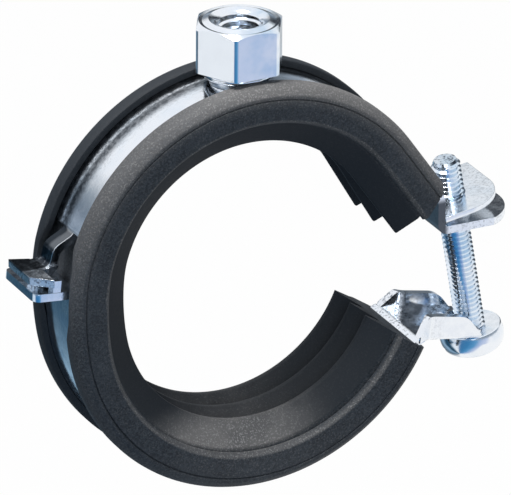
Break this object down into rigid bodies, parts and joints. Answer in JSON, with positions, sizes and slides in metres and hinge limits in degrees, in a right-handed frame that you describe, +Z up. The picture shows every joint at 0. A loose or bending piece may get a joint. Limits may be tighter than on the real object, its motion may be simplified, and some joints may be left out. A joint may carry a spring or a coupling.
{
  "type": "rubber-lined pipe clamp",
  "caption": "Hinged two-piece steel pipe clamp with a ribbed rubber lining, a welded hexagonal connection nut on top and a side closing screw.",
  "frame": {"origin": "centre of the upper half ring, on the pipe's axis", "axes": "+Z up through the connection nut, +Y along the pipe, +X towards the closing screw, hinge at -X"},
  "size_m": [0.1044, 0.0214, 0.0947],
  "materials": {
    "zinc_strip": "bright zinc plate",
    "zinc_nut": "bright zinc plate",
    "zinc_screw": "bright zinc plate",
    "rubber": "matte"
  },
  "bodies": {
    "upper": {"upper_band": "zinc_strip", "connection_nut": "zinc_nut", "thread_plate": "zinc_strip", "upper_lining": "rubber"},
    "lower": {"lower_band": "zinc_strip", "lower_lining": "rubber"},
    "screw": {"closing_screw": "zinc_screw"}
  },
  "joints": [
    {"name": "screw_advance", "type": "slide", "parent": "upper", "child": "screw", "axis": [-0.1702, 0, 0.9854], "range_m": [0, 0.0082]},
    {"name": "band_hinge", "type": "hinge", "parent": "upper", "child": "lower", "pos_m": [-0.0445, 0, 0.00542], "axis": [0, -1, 0], "range_deg": [0, 5.3]}
  ],
  "couplings": [
    {"joint": "band_hinge", "follows": "screw_advance", "rad_per_m": 11.28}
  ]
}
